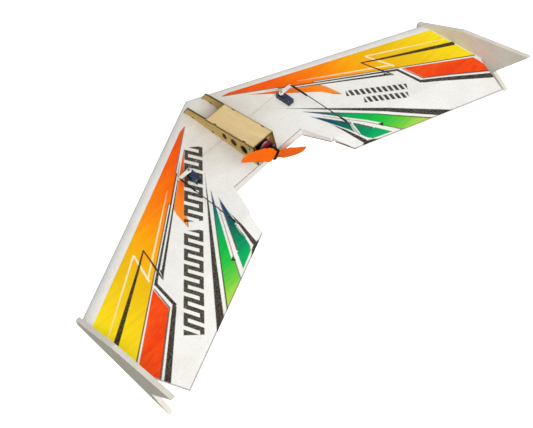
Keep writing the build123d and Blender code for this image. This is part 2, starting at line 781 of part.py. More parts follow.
# --------------------------------------------------------------------- servos
for tag, sx in (("right", 1), ("left", -1)):
    cx = sx * SERVO_X
    with BuildPart() as servo_case:
        with Locations((cx, fy(SERVO_D0 + SERVO_L / 2), fz((2.6 - SERVO_BOT) / 2))):
            Box(SERVO_W, SERVO_L, SERVO_BOT + 2.6)
        fillet(servo_case.edges().filter_by(Axis.Z), 0.6)
    save(servo_case.part, f"servo_case_{tag}")

    with BuildPart() as servo_top:
        with Locations((cx, fy(SERVO_D0 + SERVO_L / 2), fz((2.6 + SERVO_TOP) / 2))):
            Box(SERVO_W, SERVO_L, SERVO_TOP - 2.6)
        fillet(servo_top.edges().filter_by(Axis.Z), 0.6)
        chamfer(servo_top.faces().sort_by(Axis.Z)[-1].outer_wire().edges(), 0.5)
        with BuildSketch(Plane((cx, fy(SHAFT_D), fz(SERVO_TOP)))):
            Circle(3.6)
        extrude(amount=0.9)
        with BuildSketch(Plane((cx, fy(SHAFT_D + 5.6), fz(SERVO_TOP)))):
            Circle(2.2)
        extrude(amount=0.6)
        with BuildSketch(Plane((cx, fy(SHAFT_D), fz(4.0)))):
            Circle(1.95)
        extrude(amount=6.0, mode=Mode.SUBTRACT)
        # heads of the case screws sink into four corner recesses
        with BuildSketch(Plane((cx, fy(SERVO_D0 + SERVO_L / 2), fz(SERVO_TOP)))):
            with GridLocations(SERVO_W - 2.8, SERVO_L - 2.8, 2, 2):
                Circle(0.8)
        extrude(amount=-0.7, mode=Mode.SUBTRACT)
    save(servo_top.part, f"servo_top_{tag}")

    with BuildPart() as servo_screws:
        with BuildSketch(
            Plane((cx, fy(SERVO_D0 + SERVO_L / 2), fz(SERVO_TOP - 0.7)))
        ):
            with GridLocations(SERVO_W - 2.8, SERVO_L - 2.8, 2, 2):
                Circle(0.7)
        extrude(amount=0.5)
    save(servo_screws.part, f"servo_case_screws_{tag}")

    with BuildPart() as servo_output:
        with BuildSketch(Plane((cx, fy(SHAFT_D), fz(4.1)))):
            Circle(1.9)
        extrude(amount=ARM_H0 - 4.1 + 0.6)
    save(servo_output.part, f"servo_output_{tag}")

    with BuildPart() as servo_arm:
        with BuildSketch(Plane((cx, fy(SHAFT_D), fz(ARM_H0)))):
            Circle(3.2)
            with BuildLine():
                Polyline(
                    (0, 2.7),
                    (sx * ARM_R, 1.7),
                    (sx * ARM_R, -1.7),
                    (0, -2.7),
                    close=True,
                )
            make_face()
            with Locations((sx * ARM_R, 0)):
                Circle(1.7)
            with Locations(*[(sx * r, 0) for r in (7.6, 9.8, 12.0, 14.2, ARM_R)]):
                Circle(WIRE_R + 0.05, mode=Mode.SUBTRACT)
        extrude(amount=ARM_T)
        with BuildSketch(Plane((cx, fy(SHAFT_D), fz(ARM_H0 + ARM_T)))):
            Circle(2.8)
        extrude(amount=0.7)
        # socket for the output shaft, clearance hole for the screw
        with BuildSketch(Plane((cx, fy(SHAFT_D), fz(ARM_H0 - 1)))):
            Circle(1.9)
        extrude(amount=1.6, mode=Mode.SUBTRACT)
        with BuildSketch(Plane((cx, fy(SHAFT_D), fz(ARM_H0 - 1)))):
            Circle(0.85)
        extrude(amount=6, mode=Mode.SUBTRACT)
    save(servo_arm.part, f"servo_arm_{tag}")

    with BuildPart() as arm_screw:
        with BuildSketch(Plane((cx, fy(SHAFT_D), fz(ARM_H0 + 0.6)))):
            Circle(0.8)
        extrude(amount=ARM_T - 0.6 + 0.7)
        with BuildSketch(Plane((cx, fy(SHAFT_D), fz(ARM_H0 + ARM_T + 0.7)))):
            Circle(1.7)
        extrude(amount=0.9)
        with BuildSketch(Plane((cx, fy(SHAFT_D), fz(ARM_H0 + ARM_T + 1.2)))):
            Rectangle(2.2, 0.45)
            Rectangle(0.45, 2.2)
        extrude(amount=1.0, mode=Mode.SUBTRACT)
    save(arm_screw.part, f"servo_arm_screw_{tag}")

    # ------------------------------------------------------------- pushrod
    rx = sx * (SERVO_X + ARM_R)
    RD0, RD1 = SHAFT_D, HORN_D
    with BuildPart() as pushrod:
        with BuildSketch(Plane.XZ.offset(-fy(RD0 + 9.0))):
            with Locations((rx, fz(ROD_H + WIRE_R + ROD_R))):
                Circle(ROD_R)
        extrude(amount=RD1 - RD0 - 18.0)
    save(pushrod.part, f"pushrod_{tag}")

    # steel ends: the front one drops through the arm, the rear one turns
    # outboard through the control horn
    with BuildPart() as pushrod_ends:
        with BuildLine():
            front = FilletPolyline(
                (rx, fy(RD0), fz(ARM_H0 - 1.1)),
                (rx, fy(RD0), fz(ROD_H)),
                (rx, fy(RD0 + 26.0), fz(ROD_H)),
                radius=0.9,
            )
        with BuildSketch(Plane(front @ 0, z_dir=front % 0)):
            Circle(WIRE_R)
        sweep()
    with BuildPart() as pushrod_rear_end:
        with BuildLine():
            rear = FilletPolyline(
                (rx, fy(RD1 - 30.0), fz(ROD_H)),
                (rx, fy(RD1), fz(ROD_H)),
                (rx + sx * 4.4, fy(RD1), fz(ROD_H)),
                radius=0.9,
            )
        with BuildSketch(Plane(rear @ 0, z_dir=rear % 0)):
            Circle(WIRE_R)
        sweep()
    both = Compound(
        children=[pushrod_ends.part.solids()[0], pushrod_rear_end.part.solids()[0]]
    )
    save(both, f"pushrod_ends_{tag}")

    # heat-shrink sleeves that bind each end to the rod
    with BuildPart() as sleeves:
        for d0, length in ((RD0 + 4.0, 25.0), (RD1 - 14.5, 10.5)):
            with BuildSketch(Plane.XZ.offset(-fy(d0))):
                with Locations((rx, fz(ROD_H + ROD_R))):
                    SlotOverall(2.9, 1.9, rotation=90)
                    Rectangle(0.1, 0.1)
            extrude(amount=length)
    with BuildPart() as sleeves_cut:
        add(sleeves.part)
        add(pushrod.part, mode=Mode.SUBTRACT)
        add(pushrod_ends.part, mode=Mode.SUBTRACT)
        add(pushrod_rear_end.part, mode=Mode.SUBTRACT)
    save(sleeves_cut.part, f"pushrod_sleeves_{tag}")

    # -------------------------------------------------------- control horn
    with BuildPart() as control_horn:
        with BuildSketch(Plane.YZ.offset(sx * HORN_X - 0.6)):
            with BuildLine():
                Polyline(
                    *yz(
                        [
                            (201.4, -5.0),
                            (200.4, -0.6),
                            (199.6, 0.6),
                            (HORN_D - 2.3, ROD_H - 1.0),
                            (HORN_D - 2.3, ROD_H + 1.0),
                            (HORN_D - 1.0, ROD_H + 2.3),
                            (HORN_D + 1.4, ROD_H + 2.3),
                            (HORN_D + 3.6, ROD_H - 0.6),
                            (211.6, 0.4),
                            (211.0, -1.8),
                            (210.0, -5.0),
                        ]
                    ),
                    close=True,
                )
            make_face()
            with Locations((fy(HORN_D), fz(ROD_H + HORN_LIFT))):
                Circle(1.05, mode=Mode.SUBTRACT)
            with Locations((fy(HORN_D + 3.4), fz(ROD_H - 4.0))):
                Circle(0.6, mode=Mode.SUBTRACT)
        extrude(amount=1.2)
    save(control_horn.part, f"control_horn_{tag}")

# --------------------------------------------------------------------- export
save(wing_half_right.part, "wing_half_right")
save(wing_half_left.part, "wing_half_left")
save(wing_spar.part, "wing_spar")
save(elevon_right.part, "elevon_right")
save(elevon_left.part, "elevon_left")
save(fin_right.part, "fin_right")
save(fin_left.part, "fin_left")
save(pod_side_right.part, "pod_side_right")
save(pod_side_left.part, "pod_side_left")
save(pod_top_plate.part, "pod_top_plate")
save(motor_firewall.part, "motor_firewall")
save(battery_pad.part, "battery_pad")
save(battery_pack.part, "battery_pack")
save(battery_leads.part, "battery_leads")
save(battery_plug.part, "battery_plug")
save(esc_leads.part, "esc_leads")
save(speed_controller.part, "speed_controller")
save(receiver.part, "receiver")
save(servo_lead_right.part, "servo_lead_right")
save(servo_lead_left.part, "servo_lead_left")
save(motor_base.part, "motor_base")
save(motor_screws.part, "motor_screws")
save(motor_stator.part, "motor_stator")
save(motor_bell.part, "motor_bell")
save(motor_magnets.part, "motor_magnets")
save(motor_shaft.part, "motor_shaft")
save(prop_saver.part, "prop_saver")
save(prop_saver_screws.part, "prop_saver_screws")
save(prop_ring.part, "prop_ring")
save(propeller.part, "propeller")
save(motor_wires.part, "motor_wires")
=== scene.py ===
import math

import bmesh
import bpy
from mathutils import Matrix, Vector


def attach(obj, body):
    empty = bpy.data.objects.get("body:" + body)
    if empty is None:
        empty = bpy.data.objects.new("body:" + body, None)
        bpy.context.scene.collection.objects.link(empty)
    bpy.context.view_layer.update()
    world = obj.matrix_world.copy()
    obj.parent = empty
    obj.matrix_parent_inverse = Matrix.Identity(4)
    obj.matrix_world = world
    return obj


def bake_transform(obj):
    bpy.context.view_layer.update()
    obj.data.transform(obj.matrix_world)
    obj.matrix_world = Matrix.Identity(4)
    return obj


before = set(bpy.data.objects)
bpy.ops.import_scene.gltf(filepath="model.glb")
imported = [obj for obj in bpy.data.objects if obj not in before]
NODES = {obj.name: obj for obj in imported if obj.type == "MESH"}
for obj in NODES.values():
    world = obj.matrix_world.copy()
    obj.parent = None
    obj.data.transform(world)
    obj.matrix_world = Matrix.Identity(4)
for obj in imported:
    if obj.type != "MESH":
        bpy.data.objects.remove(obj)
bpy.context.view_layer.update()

U = 0.00075  # one livery unit, in metres: the outer fin faces stand at +-400 units
NOSE_Y = 0.156  # the nose, in the row frame
DECK_Z = 0.033  # the wing's flat top


def srgb(r, g, b):
    def lin(c):
        c /= 255.0
        return c / 12.92 if c <= 0.04045 else ((c + 0.055) / 1.055) ** 2.4

    return (lin(r), lin(g), lin(b), 1.0)


# ---------------------------------------------------------------- node helper
class Mat:
    """A Principled material and short calls for the nodes that feed it."""

    def __init__(self, name, **fixed):
        self.m = bpy.data.materials.new(name)
        self.m.use_nodes = True
        self.t = self.m.node_tree
        self.b = next(n for n in self.t.nodes if n.type == "BSDF_PRINCIPLED")
        for k, v in fixed.items():
            self.b.inputs[k.replace("_", " ")].default_value = v
        self._co = None

    def new(self, kind, **at):
        n = self.t.nodes.new(kind)
        for k, v in at.items():
            setattr(n, k, v)
        return n

    def put(self, socket, value):
        if hasattr(value, "links"):
            self.t.links.new(value, socket)
        else:
            socket.default_value = value

    def coords(self):
        if self._co is None:
            self._co = self.new("ShaderNodeTexCoord")
        return self._co

    def obj(self):
        return self.coords().outputs["Object"]

    def normal(self):
        return self.coords().outputs["Normal"]

    def xyz(self, v):
        n = self.new("ShaderNodeSeparateXYZ")
        self.put(n.inputs[0], v)
        return n.outputs

    def join(self, x, y, z):
        n = self.new("ShaderNodeCombineXYZ")
        for s, v in zip(n.inputs, (x, y, z)):
            self.put(s, v)
        return n.outputs[0]

    def f(self, op, a, b=None, c=None, clamp=False):
        n = self.new("ShaderNodeMath", operation=op, use_clamp=clamp)
        for s, v in zip(n.inputs, (a, b, c)):
            if v is not None:
                self.put(s, v)
        return n.outputs[0]

    def v(self, op, a, b=None, out=0):
        n = self.new("ShaderNodeVectorMath", operation=op)
        self.put(n.inputs[0], a)
        if b is not None:
            self.put(n.inputs[1], b)
        return n.outputs["Value" if op in ("DOT_PRODUCT", "LENGTH") else "Vector"]

    def span(self, x, a, b, lo=0.0, hi=1.0, smooth=False):
        n = self.new("ShaderNodeMapRange")
        if smooth:
            n.interpolation_type = "SMOOTHSTEP"
        self.put(n.inputs["Value"], x)
        for k, v in (("From Min", a), ("From Max", b), ("To Min", lo), ("To Max", hi)):
            n.inputs[k].default_value = v
        return n.outputs["Result"]

    def scaled(self, v, s):
        n = self.new("ShaderNodeMapping")
        self.put(n.inputs["Vector"], v)
        n.inputs["Scale"].default_value = s
        return n.outputs[0]

    def turned(self, v, angle, s):
        n = self.new("ShaderNodeMapping")
        self.put(n.inputs["Vector"], v)
        n.inputs["Rotation"].default_value = angle
        n.inputs["Scale"].default_value = s
        return n.outputs[0]

    def noise(self, v, scale, detail=2.0, rough=0.5, distort=0.0, colour=False):
        n = self.new("ShaderNodeTexNoise")
        self.put(n.inputs["Vector"], v)
        n.inputs["Scale"].default_value = scale
        n.inputs["Detail"].default_value = detail
        n.inputs["Roughness"].default_value = rough
        n.inputs["Distortion"].default_value = distort
        return n.outputs["Color" if colour else "Fac"]

    def cells(self, v, scale, feature="F1", rand=1.0, out="Distance"):
        n = self.new("ShaderNodeTexVoronoi", feature=feature)
        self.put(n.inputs["Vector"], v)
        n.inputs["Scale"].default_value = scale
        n.inputs["Randomness"].default_value = rand
        return n.outputs[out]

    def wave(self, v, scale, distort=0.0, detail=2.0, direction="X", kind="BANDS"):
        n = self.new("ShaderNodeTexWave", wave_type=kind)
        if kind == "BANDS":
            n.bands_direction = direction
        else:
            n.rings_direction = direction
        self.put(n.inputs["Vector"], v)
        n.inputs["Scale"].default_value = scale
        n.inputs["Distortion"].default_value = distort
        n.inputs["Detail"].default_value = detail
        return n.outputs["Fac"]

    def ramp(self, x, stops):
        n = self.new("ShaderNodeValToRGB")
        self.put(n.inputs["Fac"], x)
        e = n.color_ramp.elements
        while len(e) < len(stops):
            e.new(0.5)
        for k, (at, colour) in zip(e, stops):
            k.position = at
        for k, (at, colour) in zip(e, stops):
            k.color = colour
        return n.outputs["Color"]

    def mix(self, fac, a, b, how="MIX"):
        n = self.new("ShaderNodeMix", data_type="RGBA", blend_type=how)
        self.put(n.inputs[0], fac)
        self.put(n.inputs[6], a)
        self.put(n.inputs[7], b)
        return n.outputs[2]

    def bump(self, height, strength=0.3, distance=0.0005, normal=None):
        n = self.new("ShaderNodeBump")
        n.inputs["Strength"].default_value = strength
        n.inputs["Distance"].default_value = distance
        self.put(n.inputs["Height"], height)
        if normal is not None:
            self.put(n.inputs["Normal"], normal)
        return n.outputs[0]

    def set(self, **sockets):
        for k, v in sockets.items():
            self.put(self.b.inputs[k.replace("_", " ")], v)
        return self.m


# --------------------------------------------------------- livery, in units
class Livery:
    """Ink shapes as products of half planes over (|x|, y) in livery units."""

    def __init__(self, m, wobble=0.55):
        self.m = m
        x, y, z = m.xyz(m.obj())[:]
        self.x_signed = x
        grain = m.noise(m.obj(), 900.0, 2.0, 0.6, colour=True)
        gx, gy, _ = m.xyz(grain)[:]
        ux = m.f("MULTIPLY", m.f("ABSOLUTE", x), 1.0 / U)
        uy = m.f("MULTIPLY_ADD", y, 1.0 / U, -NOSE_Y / U)
        self.ux = m.f("ADD", ux, m.f("MULTIPLY_ADD", gx, 2 * wobble, -wobble))
        self.uy = m.f("ADD", uy, m.f("MULTIPLY_ADD", gy, 2 * wobble, -wobble))
        self.p = m.join(self.ux, self.uy, 1.0)

    def poly(self, points, soft=0.55):
        """Mask of one convex polygon."""
        m = self.m
        area = sum(
            a[0] * b[1] - b[0] * a[1] for a, b in zip(points, points[1:] + points[:1])
        )
        if area < 0:
            points = points[::-1]
        low = None
        for a, b in zip(points, points[1:] + points[:1]):
            dx, dy = b[0] - a[0], b[1] - a[1]
            k = math.hypot(dx, dy)
            if k < 1e-6:
                continue
            nx, ny = -dy / k, dx / k
            d = m.v("DOT_PRODUCT", self.p, (nx, ny, -(nx * a[0] + ny * a[1])))
            low = d if low is None else m.f("MINIMUM", low, d)
        return m.span(low, -soft, soft)

    def line(self, a, b, wa, wb=None, soft=0.5):
        """Mask of a straight stroke from a to b, wa wide at a and wb at b."""
        wb = wa if wb is None else wb
        dx, dy = b[0] - a[0], b[1] - a[1]
        k = math.hypot(dx, dy)
        nx, ny = -dy / k, dx / k
        return self.poly(
            [
                (a[0] + nx * wa / 2, a[1] + ny * wa / 2),
                (b[0] + nx * wb / 2, b[1] + ny * wb / 2),
                (b[0] - nx * wb / 2, b[1] - ny * wb / 2),
                (a[0] - nx * wa / 2, a[1] - ny * wa / 2),
            ],
            soft,
        )

    def any(self, masks):
        m, out = self.m, None
        for k in masks:
            out = k if out is None else m.f("MAXIMUM", out, k)
        return out

    def bars(self, start, end, height, period, duty, lean, side, soft=0.5, joined=0.0):
        """A plain row of leaning bars from start to end, on one wing only (side -1 is left).
        joined is the thickness of links that turn the row into a meander."""
        m = self.m
        dx, dy = end[0] - start[0], end[1] - start[1]
        k = math.hypot(dx, dy)
        ex, ey = dx / k, dy / k
        nx, ny = -ey, ex
        along = m.v("DOT_PRODUCT", self.p, (ex, ey, -(ex * start[0] + ey * start[1])))
        across = m.v("DOT_PRODUCT", self.p, (nx, ny, -(nx * start[0] + ny * start[1])))
        phase = m.f("MULTIPLY_ADD", across, lean, along)
        saw = m.f("PINGPONG", phase, period / 2)
        bar = m.span(saw, period * duty / 2 + soft, period * duty / 2 - soft)
        tall = m.span(
            m.f("ABSOLUTE", across), height / 2 + soft, height / 2 - soft
        )
        if joined:
            turn = m.span(m.f("PINGPONG", m.f("ADD", phase, -period / 2), period), period / 2 - soft, period / 2 + soft)
            high = m.span(across, height / 2 - joined - soft, height / 2 - joined + soft)
            low = m.span(across, joined - height / 2 + soft, joined - height / 2 - soft)
            bar = m.f("MAXIMUM", bar, m.f("MAXIMUM", m.f("MULTIPLY", turn, high), m.f("MULTIPLY", m.f("SUBTRACT", 1.0, turn), low)))
        inside = m.f(
            "MINIMUM",
            m.span(along, -soft, soft),
            m.span(along, k + soft, k - soft),
        )
        here = m.span(m.f("MULTIPLY", self.x_signed, float(side)), 0.0, 0.001)
        return m.f("MULTIPLY", m.f("MULTIPLY", bar, tall), m.f("MULTIPLY", inside, here))


def foam_surface(m, seam_scale=330.0):
    """Moulded bead foam: the beads' seams and domes as a height, and a colour."""
    o = m.obj()
    beads = m.cells(o, seam_scale)
    seams = m.cells(o, seam_scale, "DISTANCE_TO_EDGE")
    fine = m.noise(o, 2200.0, 2.0, 0.6)
    soft = m.noise(o, 45.0, 3.0, 0.55)
    groove = m.span(seams, 0.0, 0.09)
    height = m.f(
        "ADD",
        m.f("MULTIPLY", groove, 0.6),
        m.f("ADD", m.f("MULTIPLY", beads, -0.35), m.f("MULTIPLY", fine, 0.22)),
    )
    tone = m.ramp(
        soft, [(0.3, srgb(235, 233, 229)), (0.55, srgb(240, 239, 235)), (0.8, srgb(244, 243, 240))]
    )
    cell = m.cells(o, seam_scale, out="Color")
    cell_r = m.xyz(cell)[0]
    tone = m.mix(m.f("MULTIPLY", cell_r, 0.10), tone, srgb(214, 212, 206))
    tone = m.mix(m.span(groove, 1.0, 0.0, 0.0, 0.22), tone, srgb(190, 186, 178))
    return tone, height, groove, cell_r


def printed_foam():
    m = Mat("foam_printed", Roughness=0.86)
    m.b.inputs["Specular IOR Level"].default_value = 0.08
    foam, height, groove, cell_r = foam_surface(m)
    L = Livery(m)

    # -- painted shade: a warm, mottled darkening round the pod and the nose
    shade_mottle = m.noise(m.obj(), 38.0, 4.0, 0.6)
    about = m.v("LENGTH", m.join(m.f("MULTIPLY", L.ux, 0.6), m.f("ADD", L.uy, 92.0), 0.0))
    pod_shade = m.f("MULTIPLY", m.span(about, 92.0, 34.0, 0.0, 1.0, True), m.span(shade_mottle, 0.3, 0.6, 0.35, 1.0))
    foam = m.mix(m.f("MULTIPLY", pod_shade, 0.62), foam, srgb(208, 200, 184))

    # -- orange to yellow wedge along the leading edge
    wedge = L.any(
        [
            L.poly([(43, -47), (58, -50.5), (131, -88), (131, -115.5)]),
            L.poly([(130, -87.5), (169, -107.5), (169, -149.5), (119, -110), (119, -84)]),
            L.poly([(168, -107), (391, -221), (391, -317), (168, -143.6)]),
        ]
    )
    streak = m.noise(
        m.turned(L.p, (0, 0, math.radians(36.5)), (0.006, 0.11, 1.0)), 1.0, 3.0, 0.55
    )
    gx = m.f("ADD", L.ux, m.f("MULTIPLY_ADD", streak, 90.0, -45.0))
    warm = m.ramp(
        m.span(gx, 40, 400),
        [
            (0.00, srgb(214, 84, 30)),
            (0.13, srgb(244, 84, 8)),
            (0.24, srgb(248, 100, 8)),
            (0.36, srgb(250, 122, 6)),
            (0.48, srgb(253, 148, 4)),
            (0.58, srgb(250, 170, 6)),
            (0.68, srgb(238, 184, 14)),
            (0.78, srgb(238, 196, 18)),
            (0.90, srgb(248, 214, 22)),
            (1.00, srgb(248, 232, 26)),
        ],
    )
    tone = m.mix(wedge, foam, warm)

    # -- pale zigzag inside the wedge
    pale_in = m.f(
        "MULTIPLY",
        L.line((152, -123.5), (284, -223.5), 2.0, 2.8),
        m.span(L.ux, 150, 205, 0.15, 0.95),
    )
    pale_up = L.line((284.5, -228), (270, -176), 3.4, 3.0)
    pale_out = m.f(
        "MULTIPLY",
        L.line((269.5, -174.5), (391, -255), 2.6, 2.0),
        m.span(L.ux, 300, 392, 1.0, 0.45),
    )
    tone = m.mix(m.f("MINIMUM", wedge, L.any([pale_in, pale_up, pale_out])), tone, srgb(252, 232, 190))

    # -- second orange spear
    spear = L.any(
        [
            L.poly([(75, -80), (171, -158.5), (174.8, -171), (160, -171)]),
            L.poly([(159.5, -170), (174.5, -169), (179.5, -201), (168, -187)]),
        ]
    )
    spear_tone = m.ramp(
        m.span(L.ux, 75, 180),
        [
            (0.0, srgb(222, 120, 84)),
            (0.16, srgb(226, 92, 44)),
            (0.45, srgb(244, 108, 22)),
            (0.8, srgb(250, 130, 28)),
            (1.0, srgb(240, 146, 60)),
        ],
    )
    tone = m.mix(spear, tone, spear_tone)

    # -- red block
    red = L.poly(
        [(289.5, -241.5), (385.5, -318.3), (385.5, -361), (303, -290), (295.5, -283)]
    )
    patch = m.noise(m.turned(L.p, (0, 0, math.radians(40)), (0.02, 0.05, 1.0)), 1.0, 3.0, 0.6)
    red_tone = m.ramp(
        patch,
        [(0.3, srgb(226, 52, 12)), (0.5, srgb(240, 72, 14)), (0.7, srgb(246, 92, 22))],
    )
    tone = m.mix(red, tone, red_tone)

    # -- green blade
    green = L.any(
        [
            L.poly([(106.5, -176.5), (197, -291.5), (174.6, -291.5)]),
            L.poly([(173, -290.5), (196, -290.5), (252, -363), (205, -350), (172.5, -298)]),
        ]
    )
    gy = m.f("ADD", L.uy, m.f("MULTIPLY_ADD", streak, -40.0, 20.0))
    green_tone = m.ramp(
        m.span(gy, -176, -352),
        [
            (0.00, srgb(96, 100, 150)),
            (0.10, srgb(40, 84, 118)),
            (0.19, srgb(14, 112, 112)),
            (0.30, srgb(16, 146, 104)),
            (0.42, srgb(8, 172, 84)),
            (0.56, srgb(4, 182, 66)),
            (0.66, srgb(40, 190, 62)),
            (0.76, srgb(92, 196, 62)),
            (0.86, srgb(148, 208, 70)),
            (1.00, srgb(192, 206, 92)),
        ],
    )
    tone = m.mix(green, tone, green_tone)

    # -- teal blade
    teal = L.any(
        [
            L.poly([(107.5, -194), (158.8, -289.5), (139.5, -297.5), (137, -292)]),
            L.poly([(137, -289), (160.6, -289), (174, -315.3), (142, -300.6)]),
        ]
    )
    teal_tone = m.ramp(
        m.span(gy, -194, -316),
        [
            (0.00, srgb(92, 92, 148)),
            (0.14, srgb(34, 60, 110)),
            (0.28, srgb(8, 86, 112)),
            (0.45, srgb(4, 108, 90)),
            (0.65, srgb(4, 130, 90)),
            (0.82, srgb(6, 166, 94)),
            (1.00, srgb(10, 170, 90)),
        ],
    )
    tone = m.mix(teal, tone, teal_tone)

    # -- thin brown outlines
    thin = L.any(
        [
            L.line((44, -48.3), (120, -108), 1.2, 2.0),
            L.line((168, -143.9), (391, -317.3), 1.6, 2.3),
            L.line((287.8, -242), (294.3, -284), 1.6, 2.6),
            L.line((293.6, -282.6), (385.5, -361.6), 2.2, 3.2),
            L.line((108, -178.5), (252, -364), 1.0, 2.4),
            L.line((114, -205), (158, -287.5), 1.2, 2.8),
            L.line((168.5, -187.8), (178.6, -200.6), 1.6, 1.2),
        ]
    )
    grey = L.any(
        [
            L.line((121, -209), (169, -290), 1.0, 1.8),
            L.line((169, -289), (193, -333), 1.8, 2.2),
            L.line((100, -96.5), (122, -115), 1.0, 1.4),
        ]
    )

    # -- black strokes
    black = L.any(
        [
            L.poly([(92, -148), (282.5, -371), (265.5, -371)]),
            L.line((119, -109.8), (263, -223.8), 1.8, 4.0),
            L.line((262, -222.6), (282.2, -239.2), 4.0, 5.0),
            L.line((121, -116), (258, -229), 1.2, 4.6),
            L.poly([(255.2, -229.2), (260.6, -224.6), (268.8, -242)]),
            L.line((253, -179), (282, -199.6), 2.2, 3.8),
            L.line((281, -198.9), (392, -273.2), 3.8, 8.8),
            L.line((253.8, -179), (258.4, -201), 2.2, 2.5),
            L.line((258.2, -200), (264.6, -226), 2.5, 3.6),
            L.line((264.2, -224), (268.2, -240), 3.6, 1.6),
            L.line((280.4, -236), (285.6, -287), 4.8, 5.2),
            L.poly([(283.3, -284), (288.4, -283), (386, -369), (378, -375.6), (286.6, -290.4)]),
            L.poly([(113, -212), (133.5, -295), (130, -304), (124, -298), (120.4, -260)]),
            L.poly([(122, -296), (133.5, -294.5), (141, -301), (177, -322), (177, -330), (124, -308)]),
            L.poly([(168.5, -288.5), (177.5, -292.5), (171.5, -298)]),
        ]
    )
    marks = L.any(
        [
            L.bars((64, -91), (166, -199), 30.0, 13.8, 0.54, 0.42, -1, joined=6.4),
            L.bars((177, -211), (300, -341), 30.0, 13.8, 0.54, 0.42, -1, joined=6.4),
            L.bars((184, -206), (262, -274), 12.5, 9.4, 0.62, 0.42, 1),
            L.bars((193, -238.5), (249, -287.5), 12.5, 9.4, 0.62, 0.42, 1),
        ]
    )
    rims = L.any(
        [
            L.line((0, -200.5), (78, -200.5), 1.4),
            L.line((77.2, -201.3), (107.0, -291.5), 1.7),
        ]
    )
    tails = L.any(
        [
            L.line((107, -290.7), (362.3, -397.0), 1.3),
            L.line((361.6, -397.6), (391.1, -331), 1.2),
        ]
    )
    tone = m.mix(m.f("MULTIPLY", rims, 0.8), tone, srgb(112, 92, 66))
    tone = m.mix(m.f("MULTIPLY", tails, 0.8), tone, srgb(122, 114, 100))
    top = m.span(m.xyz(m.normal())[2], 0.25, 0.6)
    worn = m.noise(m.obj(), 620.0, 3.0, 0.65)
    wear = m.f("MULTIPLY", m.span(worn, 0.34, 0.46, 0.90, 1.0), m.span(groove, 0.0, 1.0, 0.88, 1.0))
    tone = m.mix(m.f("MULTIPLY", m.f("MULTIPLY", thin, 0.9), wear), tone, srgb(72, 52, 24))
    tone = m.mix(m.f("MULTIPLY", m.f("MULTIPLY", grey, 0.75), wear), tone, srgb(96, 88, 84))
    ink = m.mix(m.noise(m.obj(), 240.0, 2.0), srgb(36, 31, 20), srgb(54, 48, 34))
    tone = m.mix(m.f("MULTIPLY", black, wear), tone, ink)
    tone = m.mix(
        m.f("MULTIPLY", marks, wear), tone, m.mix(m.noise(m.obj(), 260.0, 2.0), srgb(50, 45, 34), srgb(66, 60, 48))
    )

    # the print sits on the upper skin only, thinner in the bead seams
    printed = m.mix(m.f("MULTIPLY", cell_r, 0.006), tone, foam)
    tone = m.mix(top, foam, printed)

    # painted light: the cut foam faces of the propeller notch and the root are painted whiter than the skin, as if lit
    side = m.span(m.f("ABSOLUTE", m.xyz(m.normal())[2]), 0.5, 0.2)
    near = m.span(m.f("ABSOLUTE", m.xyz(m.obj())[0]), 0.088, 0.080)
    aft = m.span(m.xyz(m.obj())[1], 0.010, 0.002)
    cut = m.f("MULTIPLY", side, m.f("MULTIPLY", near, aft))
    tone = m.mix(cut, tone, srgb(250, 248, 244))

    # the hot wire's scorch along the lower rim of the notch, stronger on the right
    cx, cy, cz = m.xyz(m.obj())[:]
    across = m.f("MINIMUM", m.f("ABSOLUTE", cx), 0.0585)
    behind = m.f("MAXIMUM", m.f("SUBTRACT", NOSE_Y - 0.151, cy), 0.0)
    foot = m.f("ADD", m.f("MULTIPLY", across, -0.0391), m.f("MULTIPLY", behind, 0.129))
    lift = m.f("SUBTRACT", m.f("SUBTRACT", cz, DECK_Z - 0.00936), foot)
    flame = m.f("MULTIPLY", m.span(lift, 0.0021, 0.0009), m.span(cx, 0.0, 0.004, 0.12, 0.85))
    tone = m.mix(m.f("MULTIPLY", cut, flame), tone, srgb(112, 76, 52))

    # the servo leads' covered channel shows as a faint line across the centre
    xs = m.xyz(m.obj())
    run = m.f("ABSOLUTE", m.f("ADD", xs[1], -(NOSE_Y - 0.087)))
    ends = m.f("MULTIPLY", m.span(m.f("ABSOLUTE", xs[0]), 0.016, 0.018), m.span(m.f("ABSOLUTE", xs[0]), 0.078, 0.074))
    slit = m.f("MULTIPLY", m.span(run, 0.0009, 0.0004), m.f("MULTIPLY", ends, top))
    tone = m.mix(m.f("MULTIPLY", slit, 0.35), tone, srgb(176, 170, 158))

    rough = m.span(worn, 0.3, 0.7, 0.70, 0.86)
    normal = m.bump(height, 0.32, 0.00035)
    normal = m.bump(m.f("SUBTRACT", 1.0, slit), 0.4, 0.0004, normal)
    return m.set(Base_Color=tone, Roughness=rough, Normal=normal)


def plain_foam(name, colour=(238, 236, 230), edge=(205, 196, 180)):
    m = Mat(name)
    m.b.inputs["Specular IOR Level"].default_value = 0.1
    foam, height, groove, cell_r = foam_surface(m, 300.0)
    tone = m.mix(1.0, foam, srgb(*colour), "MULTIPLY")
    worn = m.noise(m.obj(), 60.0, 3.0, 0.6)
    tone = m.mix(m.span(worn, 0.45, 0.75, 0.0, 0.16), tone, srgb(*edge))
    return m.set(
        Base_Color=tone,
        Roughness=m.span(worn, 0.3, 0.7, 0.72, 0.88),
        Normal=m.bump(height, 0.35, 0.0004),
    )


